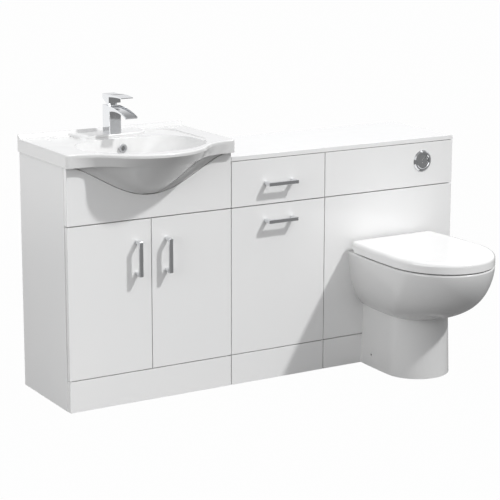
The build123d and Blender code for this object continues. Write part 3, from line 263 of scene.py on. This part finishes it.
class Finish:
    def __init__(self, name, colour, roughness, metallic=0.0):
        self.material = bpy.data.materials.new(name)
        self.material.use_nodes = True
        self.tree = self.material.node_tree
        self.shader = self.tree.nodes["Principled BSDF"]
        self.shader.inputs["Base Color"].default_value = (*colour, 1.0)
        self.shader.inputs["Roughness"].default_value = roughness
        self.shader.inputs["Metallic"].default_value = metallic
        self.place = self.tree.nodes.new("ShaderNodeTexCoord")

    def set(self, socket, value):
        self.shader.inputs[socket].default_value = value
        return self

    def noise(self, scale, detail=3.0, stretch=even):
        mapping = self.tree.nodes.new("ShaderNodeMapping")
        mapping.inputs["Scale"].default_value = stretch
        texture = self.tree.nodes.new("ShaderNodeTexNoise")
        texture.inputs["Scale"].default_value = scale
        texture.inputs["Detail"].default_value = detail
        self.tree.links.new(self.place.outputs["Object"], mapping.inputs["Vector"])
        self.tree.links.new(mapping.outputs["Vector"], texture.inputs["Vector"])
        return texture.outputs["Fac"]

    def vary_roughness(self, scale, low, high, stretch=even):
        node = self.tree.nodes.new("ShaderNodeMapRange")
        node.inputs["From Min"].default_value = noise_low
        node.inputs["From Max"].default_value = noise_high
        node.inputs["To Min"].default_value = low
        node.inputs["To Max"].default_value = high
        self.tree.links.new(self.noise(scale, stretch=stretch), node.inputs["Value"])
        self.tree.links.new(node.outputs["Result"], self.shader.inputs["Roughness"])

    def vary_colour(self, scale, colour_a, colour_b, detail=2.0):
        node = self.tree.nodes.new("ShaderNodeValToRGB")
        first, second = node.color_ramp.elements
        first.position, first.color = ramp_low, (*colour_a, 1.0)
        second.position, second.color = ramp_high, (*colour_b, 1.0)
        self.tree.links.new(self.noise(scale, detail), node.inputs["Fac"])
        self.tree.links.new(node.outputs["Color"], self.shader.inputs["Base Color"])

    def bump(self, scale, distance, strength, detail=2.0):
        node = self.tree.nodes.new("ShaderNodeBump")
        node.inputs["Strength"].default_value = strength
        node.inputs["Distance"].default_value = distance
        self.tree.links.new(self.noise(scale, detail), node.inputs["Height"])
        self.tree.links.new(node.outputs["Normal"], self.shader.inputs["Normal"])


print("finish helper ready")

# %% [markdown]
# Fronts and worktops are board with a sprayed high-gloss lacquer. Lacquer is never perfectly
# flat: a faint orange peel of a few millimetres bends the reflections. The carcase boards
# wear a thin foil with a lower gloss, so they are rougher and have only a very fine grain.

# %% Board finishes
front_gloss = Finish("front_gloss_white", (0.84, 0.84, 0.835), 0.16)
front_gloss.vary_colour(3.0, (0.835, 0.837, 0.835), (0.846, 0.846, 0.842))
front_gloss.vary_roughness(24.0, 0.15, 0.17)
front_gloss.bump(140.0, 0.00004, 0.2)
front_gloss.set("Coat Weight", 0.5).set("Coat Roughness", 0.06)

board_foil = Finish("board_foil_white", (0.82, 0.82, 0.815), 0.3)
board_foil.vary_colour(4.0, (0.815, 0.817, 0.815), (0.827, 0.827, 0.823))
board_foil.vary_roughness(30.0, 0.29, 0.32)
board_foil.bump(900.0, 0.00001, 0.2)
print("two board finishes")

# %% [markdown]
# Sanitary ware is fired clay under a thick glass glaze. The glaze is very smooth but runs in
# slow waves of some centimetres, and the clay below gives the white a warm softness. The
# clear coat stands for the glass, and the base is a little rougher below it.

# %% Ceramic glaze
glaze = Finish("white_glaze", (0.71, 0.71, 0.706), 0.22)
glaze.vary_colour(9.0, (0.704, 0.706, 0.704), (0.717, 0.717, 0.713))
glaze.vary_roughness(12.0, 0.18, 0.26)
glaze.bump(22.0, 0.0006, 0.12)
glaze.set("Coat Weight", 0.9).set("Coat Roughness", 0.03).set("Coat IOR", 1.5)
print("ceramic glaze")

# %% [markdown]
# Chrome plate is nearly a mirror. What makes it look handled are faint smudges, which only
# change its roughness. Hinges and runners are zinc plated: greyer, rougher and lightly mottled.
# The satin steel of the seat's posts is brushed, so its noise is squeezed along one axis.

# %% Metal finishes
brushed = (40.0, 1.0, 1.0)

chrome = Finish("chrome_plate", (0.72, 0.73, 0.745), 0.06, 1.0)
chrome.vary_roughness(60.0, 0.045, 0.11)

zinc = Finish("zinc_plate", (0.62, 0.62, 0.63), 0.34, 1.0)
zinc.vary_colour(90.0, (0.58, 0.58, 0.59), (0.66, 0.66, 0.665), 4.0)
zinc.vary_roughness(160.0, 0.28, 0.42)

nickel_brass = Finish("nickel_brass", (0.66, 0.63, 0.56), 0.22, 1.0)
nickel_brass.vary_roughness(120.0, 0.18, 0.3)

satin_steel = Finish("satin_steel", (0.60, 0.60, 0.61), 0.3, 1.0)
satin_steel.vary_roughness(40.0, 0.24, 0.38, stretch=brushed)

copper = Finish("copper_tube", (0.78, 0.40, 0.26), 0.3, 1.0)
copper.vary_colour(70.0, (0.72, 0.36, 0.23), (0.82, 0.44, 0.30), 4.0)
copper.vary_roughness(80.0, 0.22, 0.4)
print("five metal finishes")

# %% [markdown]
# The seat and lid are pressed from a hard white resin that is almost as glossy as the glaze.
# Tanks, traps and the laundry basket are moulded plastic with a fine grain from the mould.

# %% Plastic and rubber finishes
seat_resin = Finish("seat_resin_white", (0.83, 0.83, 0.825), 0.14)
seat_resin.vary_colour(6.0, (0.824, 0.826, 0.824), (0.836, 0.836, 0.832))
seat_resin.vary_roughness(26.0, 0.11, 0.18)
seat_resin.set("Coat Weight", 0.6).set("Coat Roughness", 0.04)

moulded_white = Finish("moulded_white", (0.76, 0.76, 0.755), 0.4)
moulded_white.vary_roughness(50.0, 0.34, 0.46)
moulded_white.bump(900.0, 0.00005, 0.5)

moulded_grey = Finish("moulded_grey", (0.28, 0.30, 0.32), 0.45)
moulded_grey.vary_roughness(50.0, 0.4, 0.52)
moulded_grey.bump(900.0, 0.00005, 0.5)

soft_rubber = Finish("soft_rubber", (0.70, 0.70, 0.69), 0.6)
soft_rubber.vary_roughness(200.0, 0.52, 0.7)
print("four plastic and rubber finishes")

# %% [markdown]
# Each CAD node now swaps its plain colour for one of the finishes. The list says what each
# piece of the real unit is made of.

# %% Finishes on the CAD nodes
finish_of = {
    front_gloss: ("basin_fascia", "basin_plinth", "basin_door_left", "basin_door_right",
                  "laundry_plinth", "laundry_worktop", "drawer_front", "laundry_door",
                  "wc_worktop", "wc_upper_panel", "wc_lower_panel", "wc_plinth"),
    board_foil: ("basin_side_left", "basin_side_right", "basin_floor_panel", "unit_rails",
                 "laundry_side_left", "laundry_side_right", "laundry_floor_panel",
                 "laundry_back", "drawer_box", "wc_side_left", "wc_side_right"),
    glaze: ("ceramic_basin", "wc_pan"),
    chrome: ("door_handle_left", "door_handle_right", "drawer_handle", "laundry_handle",
             "overflow_ring", "waste_body", "waste_plug", "tap_body", "tap_neck", "tap_lever",
             "flush_ring", "flush_button_full", "flush_button_half"),
    zinc: ("hinge_cups_left", "hinge_cups_right", "hinge_arms", "laundry_hinge_cups",
           "runners_fixed", "runners_sliding"),
    nickel_brass: ("tap_stem", "tap_fixing"),
    satin_steel: ("seat_posts",),
    copper: ("supply_tails",),
    seat_resin: ("wc_seat", "wc_lid"),
    moulded_white: ("bottle_trap", "trap_outlet_pipe", "laundry_basket", "cistern_tank",
                    "cistern_lid", "flush_pipe", "pan_connector"),
    moulded_grey: ("flush_valve", "fill_valve"),
    soft_rubber: ("seat_buffers",),
}
for finish, names in finish_of.items():
    for name in names:
        nodes[name].data.materials.clear()
        nodes[name].data.materials.append(finish.material)
print("dressed", sum(len(names) for names in finish_of.values()), "of", len(nodes), "nodes")

# %% [markdown]
# A real board never ends in a knife edge: foil and lacquer round it by about a millimetre, and
# that thin curve catches the light. A Weld modifier joins the CAD triangles, and a Bevel
# modifier by angle then rounds the corners without touching the CAD mesh itself. The drawer box
# and the hidden rails are raw cuts in the real units, so they keep their sharp edges.

# %% Softened board edges
edge_round = 0.0009
edge_steps = 2
weld_reach = 0.00001
least_corner = radians(50)
raw_boards = ("drawer_box", "unit_rails")
soft_boards = [name for name in finish_of[front_gloss] + finish_of[board_foil]
               if name not in raw_boards]

for name in soft_boards:
    weld = nodes[name].modifiers.new("join_triangles", "WELD")
    weld.merge_threshold = weld_reach
    bevel = nodes[name].modifiers.new("soft_edge", "BEVEL")
    bevel.width = edge_round
    bevel.segments = edge_steps
    bevel.limit_method = "ANGLE"
    bevel.angle_limit = least_corner
    bevel.harden_normals = True
print("softened the edges of", len(soft_boards), "boards by", edge_round * 1000, "mm")

# %% [markdown]
# Now come the pieces that are too fine for the CAD model. Each one is modelled in a bmesh with
# its place in the mesh, so its object stays at the origin. It rides on the body it is fixed to
# and names the material slot it belongs with.

# %% Piece helpers
merge_reach = 0.000001
crease_angle = radians(35)


def add_piece(name, bm, body, finish):
    """Make a modelled bmesh an object with a finish, on a body."""
    bmesh.ops.remove_doubles(bm, verts=bm.verts, dist=merge_reach)
    bmesh.ops.recalc_face_normals(bm, faces=bm.faces)
    mesh = bpy.data.meshes.new(name)
    bm.to_mesh(mesh)
    bm.free()
    mesh.shade_smooth()
    mesh.set_sharp_from_angle(angle=crease_angle)
    mesh.materials.append(finish.material)
    piece = bpy.data.objects.new(name, mesh)
    bpy.context.scene.collection.objects.link(piece)
    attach(piece, body)


def turned_to(place, direction):
    """Matrix that carries a shape built on the Z axis to a place, with Z along a direction."""
    turn = Vector(direction).to_track_quat("Z", "Y").to_matrix().to_4x4()
    return Matrix.Translation(place) @ turn


def centre_of(node):
    low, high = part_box(node)
    return (low + high) / 2


print("piece helpers ready")

# %% [markdown]
# Each handle is held by two pan-head screws from inside the front. The head is a short cone.
# Its top face is inset, the inner ring is pulled into a cross, and the cross is pushed down,
# so the recess is real geometry and no boolean is needed. The shares are of the head's radius,
# and the arm's half width is in quarter turns.

# %% Screw head
head_r = 0.0042
head_h = 0.0024
head_sides = 24
top_share = 0.78
rim_share = 0.2
arm_share, waist_share = 0.52, 0.17
arm_half_width = 0.2
recess_depth = 0.0015


def screw_head(bm, place, direction):
    """Add a screw head to a bmesh, at a place and facing a direction."""
    head = bmesh.new()
    bmesh.ops.create_cone(head, cap_ends=True, segments=head_sides, radius1=head_r,
                          radius2=head_r * top_share, depth=head_h,
                          matrix=Matrix.Translation((0.0, 0.0, head_h / 2)))
    head.faces.ensure_lookup_table()
    top = max(head.faces, key=lambda face: face.calc_center_median().z)
    bmesh.ops.inset_individual(head, faces=[top], thickness=head_r * rim_share)
    for vert in top.verts:
        quarters = vert.co.to_2d().angle_signed(Vector((1.0, 0.0))) / (pi / 2)
        from_arm = abs((quarters + 0.5) % 1.0 - 0.5)
        reach = head_r * (arm_share if from_arm < arm_half_width else waist_share)
        vert.co.x, vert.co.y = vert.co.to_2d().normalized() * reach
    sunk = bmesh.ops.extrude_discrete_faces(head, faces=[top])["faces"]
    bmesh.ops.translate(head, verts=sunk[0].verts, vec=(0.0, 0.0, -recess_depth))
    bmesh.ops.transform(head, matrix=turned_to(place, direction), verts=head.verts)
    part = bpy.data.meshes.new("screw_head")
    head.to_mesh(part)
    head.free()
    bm.from_mesh(part)
    bpy.data.meshes.remove(part)


print("screw head", head_r * 2000, "mm wide")

# %% [markdown]
# The screws sit behind the feet of their handle, on the inner face of the front. Those of the
# drawer go through the front wall of its box as well, so their heads lie inside the box.

# %% Handle screws
handle_feet = 0.096 / 2
drawer_wall_t = 0.012
into_unit = Vector((0.0, 1.0, 0.0))
screwed_from = {"door_handle_left": ("basin_door_left", "left_door"),
                "door_handle_right": ("basin_door_right", "right_door"),
                "laundry_handle": ("laundry_door", "laundry_flap")}

for handle, (front, body) in screwed_from.items():
    upright = handle.startswith("door")
    step = Vector((0.0, 0.0, handle_feet)) if upright else Vector((handle_feet, 0.0, 0.0))
    bm = bmesh.new()
    for side in (-1, 1):
        foot = centre_of(handle) + step * side
        foot.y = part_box(front)[1].y
        screw_head(bm, foot, into_unit)
    add_piece(handle + "_screws", bm, body, zinc)

bm = bmesh.new()
for side in (-1, 1):
    foot = centre_of("drawer_handle") + Vector((handle_feet * side, 0.0, 0.0))
    foot.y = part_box("drawer_box")[0].y + drawer_wall_t
    screw_head(bm, foot, into_unit)
add_piece("drawer_handle_screws", bm, "drawer", zinc)
print("8 handle screws")

# %% [markdown]
# Small rubber domes keep the fronts from knocking on the side boards. They fill the gap that
# the hinges leave between a front and the carcase. Each is a flat cone with its rim bevelled.

# %% Door bumpers
bumper_r = 0.0045
bumper_h = 0.0017
bumper_inset = 0.0075
bumper_sides = 20
bumper_taper = 0.7
bumper_rim = 0.0006
same_level = 0.00001


def bumpers(name, front, body, sides):
    """Two domes behind each side of a front: -1 is its left edge and 1 its right edge."""
    low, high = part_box(front)
    bm = bmesh.new()
    for side in sides:
        x = low.x + bumper_inset if side < 0 else high.x - bumper_inset
        for z in (low.z + 2 * bumper_inset, high.z - 2 * bumper_inset):
            place = turned_to((x, high.y + bumper_h / 2, z), into_unit)
            dome = bmesh.ops.create_cone(bm, cap_ends=True, segments=bumper_sides,
                                         radius1=bumper_r, radius2=bumper_r * bumper_taper,
                                         depth=bumper_h, matrix=place)["verts"]
            tip = max(dome, key=lambda vert: vert.co.y).co.y
            rim = [edge for edge in bm.edges
                   if all(abs(vert.co.y - tip) < same_level for vert in edge.verts)
                   and any(vert in dome for vert in edge.verts)]
            bmesh.ops.bevel(bm, geom=rim, offset=bumper_rim, offset_type="OFFSET", segments=3,
                            profile=0.5, affect="EDGES", material=-1)
    add_piece(name, bm, body, soft_rubber)


bumpers("door_bumpers_left", "basin_door_left", "left_door", (-1,))
bumpers("door_bumpers_right", "basin_door_right", "right_door", (1,))
bumpers("laundry_bumpers", "laundry_door", "laundry_flap", (-1, 1))
print("bumpers on three doors")

# %% [markdown]
# Threads are made as a lathe would make them. A small triangle is spun round the axis and moved
# along it a little at each step, which leaves a helix. The two open ends are filled. The
# triangle's depth is a share of the pitch, and its foot lies inside the core.

# %% Thread helper
turn_steps = 28
up = (0.0, 0.0, 1.0)
depth_share = 0.55
sunk_share, proud_share = 0.3, 0.7
crest_share, foot_share = 0.45, 0.9


def thread(name, start, core_r, pitch, length, finish):
    """A helix that rises from a start point on a core of a radius."""
    turns = int(length / pitch)
    depth = pitch * depth_share
    bm = bmesh.new()
    corners = [bm.verts.new(co) for co in
               ((core_r - depth * sunk_share, 0.0, 0.0),
                (core_r + depth * proud_share, 0.0, pitch * crest_share),
                (core_r - depth * sunk_share, 0.0, pitch * foot_share))]
    edges = [bm.edges.new((corners[i], corners[(i + 1) % 3])) for i in range(3)]
    bmesh.ops.spin(bm, geom=corners + edges, cent=(0.0, 0.0, 0.0), axis=up,
                   dvec=(0.0, 0.0, pitch / turn_steps), angle=2 * pi * turns,
                   steps=turns * turn_steps)
    ends = [edge for edge in bm.edges if edge.is_boundary]
    bmesh.ops.holes_fill(bm, edges=ends, sides=4)
    bmesh.ops.transform(bm, matrix=turned_to(start, up), verts=bm.verts)
    add_piece(name, bm, "carcase", finish)


print("thread helper ready")

# %% [markdown]
# Three threads can be seen from below or behind: on the waste between its back nut and the
# trap, on the tap's stud, and on the cistern's inlet. The waste's thread starts inside the
# trap's nut, as on a real one. The other two start just above the lower end of their core.

# %% Threads
into_nut = 0.001
above_end = 0.0005
stud_from_back = 0.015

waste_at = centre_of("waste_body")
trap_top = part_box("bottle_trap")[1].z
thread("waste_thread", (waste_at.x, waste_at.y, trap_top - into_nut),
       core_r=0.020, pitch=0.0021, length=0.0165, finish=chrome)

fixing_low, fixing_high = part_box("tap_fixing")
stud_foot = (centre_of("tap_fixing").x, fixing_high.y - stud_from_back, fixing_low.z + above_end)
thread("stud_thread", stud_foot,
       core_r=0.004, pitch=0.0013, length=0.031, finish=nickel_brass)

inlet_at = centre_of("fill_valve")
inlet_foot = (inlet_at.x, inlet_at.y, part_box("fill_valve")[0].z + above_end)
thread("inlet_thread", inlet_foot,
       core_r=0.0102, pitch=0.0018, length=0.029, finish=moulded_grey)
print("three threads")

# %% [markdown]
# The trap's union nut and its cup are tightened by hand, so both carry ribs to grip. One rib is
# a bevelled block, and a turn about the trap's axis repeats it.

# %% Grip ribs
rib_width = 0.0032
rib_height = 0.0022
rib_edge = 0.0007
nut_r, nut_ribs = 0.027, 20
nut_foot, nut_head = trap_top - 0.030, trap_top - 0.003
cup_r, cup_ribs = 0.033, 24
trap_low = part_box("bottle_trap")[0].z
cup_foot, cup_head = trap_low + 0.0125, trap_low + 0.0265


def grip_ribs(name, r, z_low, z_high, count):
    """Ribs between two heights, evenly round the trap's axis at a radius."""
    bm = bmesh.new()
    size = Matrix.Diagonal((2 * rib_height, rib_width, z_high - z_low, 1.0))
    middle = Matrix.Translation((waste_at.x, waste_at.y, (z_low + z_high) / 2))
    for i in range(count):
        turn = Matrix.Rotation(2 * pi * i / count, 4, "Z")
        place = middle @ turn @ Matrix.Translation((r, 0.0, 0.0)) @ size
        bmesh.ops.create_cube(bm, size=1.0, matrix=place)
    bmesh.ops.bevel(bm, geom=bm.edges[:], offset=rib_edge, offset_type="OFFSET", segments=2,
                    profile=0.5, affect="EDGES", material=-1)
    add_piece(name, bm, "carcase", moulded_white)


grip_ribs("union_ribs", nut_r, nut_foot, nut_head, nut_ribs)
grip_ribs("cup_ribs", cup_r, cup_foot, cup_head, cup_ribs)
print(nut_ribs, "ribs on the trap's nut and", cup_ribs, "on its cup")
